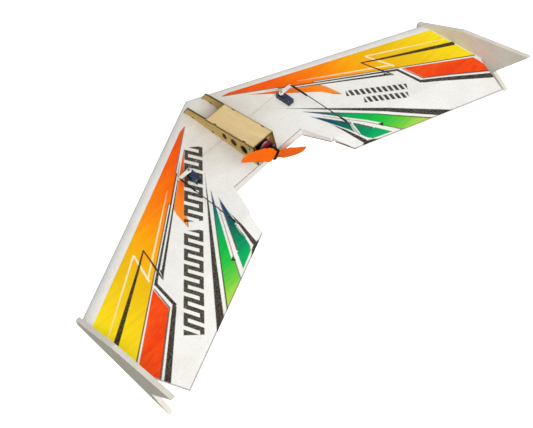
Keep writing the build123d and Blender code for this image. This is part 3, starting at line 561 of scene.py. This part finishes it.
def plywood(name, face, side, axis, soot_at=None):
    """Laser-cut ply: grain on the two faces square to axis, burnt laminations elsewhere.
    soot_at gives the distance in metres to the nearest cut edge, for the smoke stain beside it."""
    m = Mat(name)
    m.b.inputs["Specular IOR Level"].default_value = 0.3
    o = m.obj()
    grain = m.noise(m.scaled(o, (900.0, 26.0, 900.0)), 1.0, 4.0, 0.6)
    rings = m.noise(m.scaled(o, (140.0, 9.0, 140.0)), 1.0, 3.0, 0.55, 0.6)
    pores = m.noise(m.scaled(o, (2600.0, 120.0, 2600.0)), 1.0, 2.0, 0.7)
    tone = m.ramp(
        rings,
        [
            (0.28, srgb(*[c - 8 for c in face])),
            (0.5, srgb(*face)),
            (0.72, srgb(*[min(255, c + 10) for c in face])),
        ],
    )
    tone = m.mix(m.span(grain, 0.42, 0.68, 0.0, 0.2), tone, srgb(*side))
    tone = m.mix(m.span(pores, 0.60, 0.72, 0.0, 0.18), tone, srgb(150, 112, 62))
    n = m.xyz(m.normal())
    flat = m.span(m.f("ABSOLUTE", n[axis]), 0.80, 0.92)
    lam = m.wave(m.scaled(o, (1.0, 1.0, 1.0)), 480.0, 1.5, 2.0, "XYZ"[axis])
    soot = m.noise(o, 300.0, 3.0, 0.6)
    burnt = m.mix(lam, srgb(74, 52, 12), srgb(118, 90, 24))
    burnt = m.mix(m.span(soot, 0.35, 0.75, 0.0, 0.6), burnt, srgb(56, 40, 12))
    if soot_at is not None:
        smoke = m.f("ADD", soot_at(m), m.f("MULTIPLY_ADD", soot, 0.0010, -0.0005))
        tone = m.mix(m.span(smoke, 0.0032, 0.0006, 0.0, 0.30, True), tone, srgb(150, 112, 34))
        tone = m.mix(m.span(smoke, 0.0012, 0.0002, 0.0, 0.85, True), tone, srgb(98, 74, 12))
    tone = m.mix(flat, burnt, tone)
    height = m.f("ADD", m.f("MULTIPLY", grain, 0.5), m.f("MULTIPLY", pores, 0.5))
    return m.set(
        Base_Color=tone,
        Roughness=m.span(grain, 0.3, 0.7, 0.48, 0.68),
        Normal=m.bump(height, 0.25, 0.0002),
    )


def near_edges(points, holes=()):
    """Distance to the nearest of some cut edges in the (y, z) plane of a side plate."""

    def build(m):
        _, y, z = m.xyz(m.obj())[:]
        p = m.join(y, z, 1.0)
        low = None
        for a, b in zip(points, points[1:]):
            dx, dy = b[0] - a[0], b[1] - a[1]
            k = math.hypot(dx, dy)
            nx, ny = -dy / k, dx / k
            d = m.f("ABSOLUTE", m.v("DOT_PRODUCT", p, (nx, ny, -(nx * a[0] + ny * a[1]))))
            low = d if low is None else m.f("MINIMUM", low, d)
        for cy, cz, ry, rz in holes:
            # the burnt wall inside a hole counts as the very edge
            q = m.join(m.f("MULTIPLY_ADD", y, 1 / ry, -cy / ry), m.f("MULTIPLY_ADD", z, 1 / rz, -cz / rz), 0.0)
            d = m.f("MULTIPLY_ADD", m.v("LENGTH", q), (ry + rz) / 2, -(ry + rz) / 2)
            low = m.f("MINIMUM", low, m.f("ABSOLUTE", d))
        return low

    return build


def near_rim(half_x, y_front, y_rear):
    """Distance to the rim of the top plate."""

    def build(m):
        x, y, _ = m.xyz(m.obj())[:]
        side = m.f("SUBTRACT", half_x, m.f("ABSOLUTE", x))
        ends = m.f("MINIMUM", m.f("SUBTRACT", y_front, y), m.f("SUBTRACT", y, y_rear))
        return m.f("ABSOLUTE", m.f("MINIMUM", side, ends))

    return build


def plastic(name, colour, dark, rough=(0.3, 0.45), spec=0.5, scale=700.0, coat=0.0, bump=0.12, sub=0.0):
    m = Mat(name)
    m.b.inputs["Specular IOR Level"].default_value = spec
    m.b.inputs["Coat Weight"].default_value = coat
    m.b.inputs["Coat Roughness"].default_value = 0.2
    o = m.obj()
    fine = m.noise(o, scale, 3.0, 0.6)
    broad = m.noise(o, 60.0, 3.0, 0.5)
    tone = m.mix(m.span(broad, 0.35, 0.7, 0.0, 0.5), srgb(*colour), srgb(*dark))
    tone = m.mix(m.span(fine, 0.55, 0.75, 0.0, 0.18), tone, srgb(*dark))
    if sub:
        m.b.inputs["Subsurface Weight"].default_value = sub
        m.b.inputs["Subsurface Scale"].default_value = 0.001
    return m.set(
        Base_Color=tone,
        Roughness=m.span(fine, 0.3, 0.7, *rough),
        Normal=m.bump(fine, bump, 0.0001),
    )


def metal(name, colour, dark, rough=(0.25, 0.42), stretch=(200.0, 200.0, 200.0), bump=0.1, weight=1.0):
    m = Mat(name, Metallic=weight)
    o = m.obj()
    turn = m.noise(m.scaled(o, stretch), 1.0, 4.0, 0.6)
    blot = m.noise(o, 500.0, 3.0, 0.6)
    tone = m.mix(m.span(turn, 0.35, 0.7), srgb(*colour), srgb(*dark))
    tone = m.mix(m.span(blot, 0.6, 0.8, 0.0, 0.35), tone, srgb(*dark))
    return m.set(
        Base_Color=tone,
        Roughness=m.span(turn, 0.3, 0.7, *rough),
        Normal=m.bump(turn, bump, 0.00008),
    )


def carbon():
    m = Mat("carbon_tube")
    m.b.inputs["Coat Weight"].default_value = 0.4
    m.b.inputs["Coat Roughness"].default_value = 0.15
    o = m.obj()
    fibre = m.noise(m.scaled(o, (30.0, 3000.0, 3000.0)), 1.0, 3.0, 0.6)
    tone = m.mix(fibre, srgb(18, 18, 20), srgb(58, 58, 62))
    return m.set(
        Base_Color=tone,
        Roughness=m.span(fibre, 0.3, 0.7, 0.28, 0.45),
        Normal=m.bump(fibre, 0.2, 0.0001),
    )


def servo_top():
    """The servo's upper cover: dark translucent blue, pale streaks that are partly scuffs and partly painted highlight,
    and painted shade on its side faces.
    """
    m = Mat("servo_blue_cover")
    m.b.inputs["Specular IOR Level"].default_value = 0.35
    m.b.inputs["Coat Weight"].default_value = 0.15
    m.b.inputs["Coat Roughness"].default_value = 0.12
    o = m.obj()
    cloudy = m.noise(o, 260.0, 4.0, 0.6, 0.8)
    scuff_and_highlight = m.noise(m.scaled(o, (300.0, 1500.0, 600.0)), 1.0, 3.0, 0.7)
    tone = m.ramp(
        cloudy,
        [(0.3, srgb(8, 15, 32)), (0.5, srgb(18, 32, 66)), (0.66, srgb(38, 62, 104)), (0.8, srgb(70, 102, 148))],
    )
    # pale blue streaks: partly scuffs, partly painted highlight
    tone = m.mix(m.span(scuff_and_highlight, 0.6, 0.75, 0.0, 0.22), tone, srgb(92, 118, 160))
    # painted shade: the cover's steep side faces are darkened towards black
    tone = m.mix(m.span(m.xyz(m.normal())[2], 0.6, 0.3), tone, srgb(16, 20, 32))
    return m.set(
        Base_Color=tone,
        Roughness=m.span(scuff_and_highlight, 0.3, 0.7, 0.22, 0.42),
        Normal=m.bump(scuff_and_highlight, 0.12, 0.0001),
    )


def wrap_label():
    m = Mat("battery_wrap")
    m.b.inputs["Coat Weight"].default_value = 0.6
    m.b.inputs["Coat Roughness"].default_value = 0.18
    o = m.obj()
    crease = m.noise(m.scaled(o, (200.0, 60.0, 300.0)), 1.0, 4.0, 0.6, 0.5)
    band = m.f("PINGPONG", m.f("ADD", m.xyz(o)[1], 0.2), 0.009)
    tone = m.mix(m.span(crease, 0.3, 0.7), srgb(18, 58, 150), srgb(38, 92, 196))
    tone = m.mix(m.span(band, 0.0016, 0.0010, 0.0, 0.8), tone, srgb(210, 214, 222))
    return m.set(
        Base_Color=tone,
        Roughness=m.span(crease, 0.3, 0.7, 0.25, 0.45),
        Normal=m.bump(crease, 0.5, 0.0004),
    )


def hook_loop():
    m = Mat("hook_and_loop")
    o = m.obj()
    loops = m.noise(o, 2600.0, 4.0, 0.75, 1.2)
    rows = m.wave(o, 900.0, 2.0, 2.0, "X")
    tone = m.mix(loops, srgb(14, 14, 15), srgb(58, 57, 56))
    m.b.inputs["Sheen Weight"].default_value = 0.5
    return m.set(
        Base_Color=tone,
        Roughness=m.span(loops, 0.3, 0.7, 0.85, 1.0),
        Normal=m.bump(m.f("ADD", loops, rows), 0.8, 0.0004),
    )


def wires(name, tones):
    """Insulated wires that lie side by side: colour by height above each other."""
    m = Mat(name)
    o = m.obj()
    n = m.noise(o, 900.0, 2.0, 0.6)
    q = m.xyz(o)
    pick = m.f("PINGPONG", m.f("ADD", m.f("MULTIPLY", q[2], 1.0), 0.0), 0.0011)
    tone = m.ramp(
        m.span(pick, 0.0, 0.0011),
        [(0.0, srgb(*tones[0])), (0.33, srgb(*tones[1])), (0.67, srgb(*tones[2]))],
    )
    tone = m.mix(m.span(n, 0.5, 0.8, 0.0, 0.25), tone, srgb(30, 24, 20))
    return m.set(Base_Color=tone, Roughness=m.span(n, 0.3, 0.7, 0.38, 0.55), Normal=m.bump(n, 0.1, 0.0001))


def bell():
    """Anodised bell: black can, a pale pink band that is a painted highlight, and a crimson rear cap."""
    m = Mat("bell_crimson", Metallic=0.7)
    o = m.obj()
    turn = m.noise(m.scaled(o, (80.0, 1400.0, 80.0)), 1.0, 4.0, 0.6)
    blot = m.noise(o, 420.0, 3.0, 0.6)
    at = m.f("ADD", m.xyz(o)[1], m.f("MULTIPLY_ADD", blot, 0.0006, -0.0003))
    # the pale pink stops at 0.42 and 0.56 are a painted highlight
    tone = m.ramp(
        m.span(at, 0.0138, 0.0010),
        [
            (0.0, srgb(18, 16, 18)),
            (0.38, srgb(26, 20, 24)),
            (0.42, srgb(196, 156, 164)),
            (0.56, srgb(170, 92, 112)),
            (0.60, srgb(150, 20, 44)),
            (0.84, srgb(120, 8, 30)),
            (0.90, srgb(60, 10, 20)),
            (1.0, srgb(90, 12, 26)),
        ],
    )
    tone = m.mix(m.span(turn, 0.45, 0.75, 0.0, 0.35), tone, srgb(60, 20, 28))
    return m.set(
        Base_Color=tone,
        Roughness=m.span(turn, 0.3, 0.7, 0.24, 0.42),
        Normal=m.bump(turn, 0.15, 0.0001),
    )


def stator():
    """Laminated stator with copper windings: a copper tone, with darker steel layers in bands."""
    m = Mat("stator_windings", Metallic=0.85)
    o = m.obj()
    layers = m.wave(o, 2200.0, 0.3, 1.0, "Y")
    turns = m.noise(m.scaled(o, (2400.0, 300.0, 2400.0)), 1.0, 3.0, 0.6)
    tone = m.mix(m.span(turns, 0.4, 0.6), srgb(150, 74, 30), srgb(206, 120, 62))
    tone = m.mix(m.span(layers, 0.55, 0.9, 0.0, 0.5), tone, srgb(70, 60, 58))
    return m.set(Base_Color=tone, Roughness=m.span(turns, 0.3, 0.7, 0.3, 0.5), Normal=m.bump(layers, 0.4, 0.0002))


PRINTED = printed_foam()
FIN = plain_foam("foam_fin", (238, 234, 225), (204, 194, 176))
PLY_TOP = plywood("ply_top", (226, 200, 146), (204, 172, 112), 2, near_rim(0.0168, 0.0955, 0.011))
PLY_SIDE = plywood(
    "ply_side",
    (206, 176, 104),
    (180, 148, 78),
    0,
    near_edges(
        [(0.1365, 0.0362), (0.1305, 0.0455), (0.011, 0.063), (0.0067, 0.0355), (0.0064, 0.025)],
        [(0.0628, 0.0438, 0.0033, 0.0038), (0.0464, 0.0448, 0.0043, 0.0049), (0.0288, 0.0454, 0.0052, 0.0058)],
    ),
)
PLY_WALL = plywood("ply_wall", (202, 170, 112), (170, 136, 78), 1)
CARBON = carbon()
ORANGE = plastic("prop_orange", (255, 112, 8), (250, 96, 2), (0.42, 0.55), 0.12, 500.0, 0.0, 0.08)
BLACK_AL = metal("bell_black", (34, 32, 34), (14, 13, 14), (0.24, 0.4), (60.0, 1200.0, 60.0), 0.15, 0.75)
BELL = bell()
RED_AL = metal("base_red", (150, 26, 34), (92, 12, 20), (0.25, 0.4), (1200.0, 60.0, 1200.0), 0.12)
STEEL = metal("steel", (186, 186, 188), (118, 118, 122), (0.2, 0.36), (900.0, 40.0, 900.0), 0.08)
ROD = metal("rod_steel", (132, 130, 126), (84, 82, 80), (0.3, 0.45), (900.0, 60.0, 900.0), 0.08)
MAGNET = metal("magnet", (170, 168, 166), (120, 118, 118), (0.25, 0.35), (400.0, 400.0, 400.0), 0.05)
STATOR = stator()
RUBBER = plastic("rubber_black", (24, 24, 24), (12, 12, 12), (0.6, 0.78), 0.3, 900.0, 0.0, 0.25)
SHRINK = plastic("heat_shrink", (22, 22, 23), (10, 10, 11), (0.42, 0.6), 0.4, 1100.0, 0.0, 0.35)
SERVO_BLACK = plastic("servo_case", (26, 28, 34), (10, 11, 14), (0.32, 0.48), 0.5, 800.0, 0.2, 0.12)
SERVO_NAVY = servo_top()
NYLON = plastic("nylon_white", (232, 230, 222), (206, 202, 190), (0.36, 0.52), 0.45, 600.0, 0.0, 0.1, 0.1)
BLACK_PL = plastic("plastic_black", (28, 28, 30), (14, 14, 15), (0.38, 0.55), 0.5, 900.0, 0.0, 0.15)
WRAP = wrap_label()
RED_PLUG = plastic("plug_red", (196, 28, 22), (150, 16, 14), (0.32, 0.45), 0.5, 700.0, 0.2, 0.1)
HOOK = hook_loop()
LEAD = wires("servo_wire", [(104, 58, 32), (186, 40, 28), (222, 126, 40)])
POWER = wires("power_wire", [(196, 26, 22), (30, 30, 30), (196, 26, 22)])
PHASE = wires("phase_wire", [(28, 28, 30), (46, 44, 46), (150, 30, 34)])

BY_NODE = {
    "wing_half_left": PRINTED, "wing_half_right": PRINTED,
    "elevon_left": PRINTED, "elevon_right": PRINTED,
    "fin_left": FIN, "fin_right": FIN,
    "pod_top_plate": PLY_TOP, "pod_side_left": PLY_SIDE, "pod_side_right": PLY_SIDE,
    "motor_firewall": PLY_WALL,
    "wing_spar": CARBON,
    "propeller": ORANGE,
    "motor_bell": BELL, "motor_base": BLACK_AL, "motor_stator": STATOR,
    "motor_magnets": MAGNET, "motor_shaft": STEEL, "motor_screws": STEEL,
    "motor_wires": PHASE,
    "prop_saver": RED_AL, "prop_saver_screws": STEEL, "prop_ring": RUBBER,
    "battery_pad": HOOK, "battery_pack": WRAP, "battery_leads": POWER,
    "battery_plug": RED_PLUG, "esc_leads": POWER, "speed_controller": SHRINK,
    "receiver": BLACK_PL,
}
for s in ("left", "right"):
    BY_NODE.update(
        {
            "servo_lead_" + s: LEAD,
            "servo_case_" + s: SERVO_BLACK,
            "servo_top_" + s: SERVO_NAVY,
            "servo_case_screws_" + s: STEEL,
            "control_horn_" + s: NYLON,
            "servo_arm_" + s: NYLON,
            "servo_output_" + s: NYLON,
            "servo_arm_screw_" + s: STEEL,
            "pushrod_" + s: CARBON,
            "pushrod_ends_" + s: BLACK_PL,
            "pushrod_sleeves_" + s: SHRINK,
        }
    )
for name, ob in NODES.items():
    for slot in ob.material_slots:
        slot.material = BY_NODE[name]

# ------------------------------------------------------------ added pieces
def prism(name, bottom, top, mat, steps=1):
    """A closed bar between two rings of points: bottom and top are matching outlines."""
    bm = bmesh.new()
    low = [bm.verts.new(p) for p in bottom]
    high = [bm.verts.new(p) for p in top]
    n = len(low)
    bm.faces.new(low[::-1])
    bm.faces.new(high)
    for i in range(n):
        j = (i + 1) % n
        bm.faces.new((low[i], low[j], high[j], high[i]))
    bmesh.ops.recalc_face_normals(bm, faces=bm.faces[:])
    if steps > 1:
        bmesh.ops.subdivide_edges(bm, edges=bm.edges[:], cuts=steps - 1, use_grid_fill=True)
    data = bpy.data.meshes.new(name)
    bm.to_mesh(data)
    bm.free()
    data.materials.append(mat)
    ob = bpy.data.objects.new(name, data)
    bpy.context.scene.collection.objects.link(ob)
    return ob


def at(x, d, h):
    return (x / 1000.0, NOSE_Y - d / 1000.0, DECK_Z + h / 1000.0)


# foam strips that close the servo leads' channels, pressed in flush with the top
for side, sx in (("left", -1), ("right", 1)):
    ring = [(17.05, 85.6), (82.0, 85.6), (82.0, 90.7), (79.2, 90.7), (79.2, 88.4), (17.05, 88.4)]
    strip = prism(
        "channel_strip_" + side,
        [at(sx * x, d, -0.95) for x, d in ring],
        [at(sx * x, d, -0.02) for x, d in ring],
        PRINTED,
    )
    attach(strip, "airframe")


def hinge(x):
    return 187.0 + 0.2658 * (x - 64.5)


# the printed skin that carries on over the hinge line
for side, sx in (("left", -1), ("right", 1)):
    x0, x1 = 71.6, 291.6
    rings = []
    for k in range(25):
        x = x0 + (x1 - x0) * k / 24
        rings.append([(sx * x, hinge(x) - 0.7, 0.02), (sx * x, hinge(x) - 0.2, 0.02), (sx * x, hinge(x) + 0.2, 0.02), (sx * x, hinge(x) + 0.6, 0.02), (sx * x, hinge(x) + 1.1, 0.02)])
    bm = bmesh.new()
    tops = [[bm.verts.new(at(*p)) for p in ring] for ring in rings]
    lows = [[bm.verts.new(at(p[0], p[1], -0.05)) for p in ring] for ring in rings]
    for a, b in zip(range(24), range(1, 25)):
        for i in range(4):
            bm.faces.new((tops[a][i], tops[a][i + 1], tops[b][i + 1], tops[b][i]))
            bm.faces.new((lows[a][i], lows[b][i], lows[b][i + 1], lows[a][i + 1]))
        bm.faces.new((tops[a][0], tops[b][0], lows[b][0], lows[a][0]))
        bm.faces.new((tops[a][4], lows[a][4], lows[b][4], tops[b][4]))
    for ring_t, ring_l in ((tops[0], lows[0]), (tops[-1], lows[-1])):
        for i in range(4):
            bm.faces.new((ring_t[i], ring_l[i], ring_l[i + 1], ring_t[i + 1]))
    bmesh.ops.recalc_face_normals(bm, faces=bm.faces[:])
    data = bpy.data.meshes.new("hinge_skin_" + side)
    bm.to_mesh(data)
    bm.free()
    data.materials.append(PRINTED)
    skin = bpy.data.objects.new("hinge_skin_" + side, data)
    bpy.context.scene.collection.objects.link(skin)
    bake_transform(skin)

# ------------------------------------------------------------ floor and light
def floor_material():
    m = Mat("studio_floor", Roughness=0.9)
    m.b.inputs["Specular IOR Level"].default_value = 0.1
    n = m.noise(m.obj(), 3.0, 2.0, 0.5)
    tone = m.mix(n, srgb(250, 250, 250), srgb(253, 253, 253))
    m.b.inputs["Emission Color"].default_value = (1.0, 1.0, 1.0, 1.0)
    m.b.inputs["Emission Strength"].default_value = 1.0
    return m.set(Base_Color=tone)


bm = bmesh.new()
bmesh.ops.create_grid(bm, x_segments=1, y_segments=1, size=6.0)
mesh = bpy.data.meshes.new("floor")
bm.to_mesh(mesh)
bm.free()
floor = bpy.data.objects.new("floor", mesh)
bpy.context.scene.collection.objects.link(floor)
floor.location = (0.0, 0.0, -0.0006)
mesh.materials.append(floor_material())
floor.visible_diffuse = False
floor.visible_glossy = False


def area(name, at, to, size, power, colour=(1.0, 1.0, 1.0)):
    data = bpy.data.lights.new(name, "AREA")
    data.shape = "DISK"
    data.size = size
    data.energy = power
    data.color = colour
    ob = bpy.data.objects.new(name, data)
    ob.location = at
    ob.rotation_euler = (Vector(to) - Vector(at)).to_track_quat("-Z", "Y").to_euler()
    bpy.context.scene.collection.objects.link(ob)
    return ob


area("key", (-0.5, -1.6, 1.35), (0.0, 0.0, 0.0), 1.5, 34.0, (1.0, 0.995, 0.98))
area("fill", (0.9, 0.6, 1.9), (0.0, 0.0, 0.0), 1.8, 4.0, (0.98, 0.99, 1.0))

world = bpy.data.worlds.new("studio")
bpy.context.scene.world = world
world.use_nodes = True
bg = next(n for n in world.node_tree.nodes if n.type == "BACKGROUND")
sky = world.node_tree
where = sky.nodes.new("ShaderNodeTexCoord")
parts = sky.nodes.new("ShaderNodeSeparateXYZ")
sky.links.new(where.outputs["Generated"], parts.inputs[0])
height = sky.nodes.new("ShaderNodeMapRange")
sky.links.new(parts.outputs[2], height.inputs["Value"])
for k, v in (("From Min", -0.12), ("From Max", 0.30), ("To Min", 0.24), ("To Max", 0.56)):
    height.inputs[k].default_value = v
bg.inputs["Color"].default_value = (1.0, 0.995, 0.985, 1.0)
sky.links.new(height.outputs["Result"], bg.inputs["Strength"])

# -------------------------------------------------------------------- camera
RIGHT = Vector((0.688990829, -0.720900638, -0.074792430))
DOWN = Vector((-0.630272965, -0.545010054, -0.552919553))
AHEAD = Vector((0.357837432, 0.428096295, -0.829871111))
cam = bpy.data.objects.new("camera", bpy.data.cameras.new("camera"))
bpy.context.scene.collection.objects.link(cam)
cam.data.sensor_fit = "HORIZONTAL"
cam.data.sensor_width = 36.0
cam.data.lens = 896.304 * 36.0 / 533.0
cam.data.shift_x = (266.5 - 273.513) / 533.0
cam.data.shift_y = (228.517 - 214.0) / 533.0
cam.data.clip_start = 0.01
cam.data.clip_end = 30.0
cam.data.dof.use_dof = False
turn = Matrix((RIGHT, -DOWN, -AHEAD)).transposed().to_4x4()
cam.matrix_world = Matrix.Translation((-0.438527, -0.510912, 0.886329)) @ turn
bpy.context.scene.camera = cam
bpy.context.scene.view_settings.view_transform = "Standard"
bpy.context.scene.view_settings.look = "None"
bpy.context.scene.view_settings.exposure = 0.0
bpy.context.scene.view_settings.gamma = 1.0
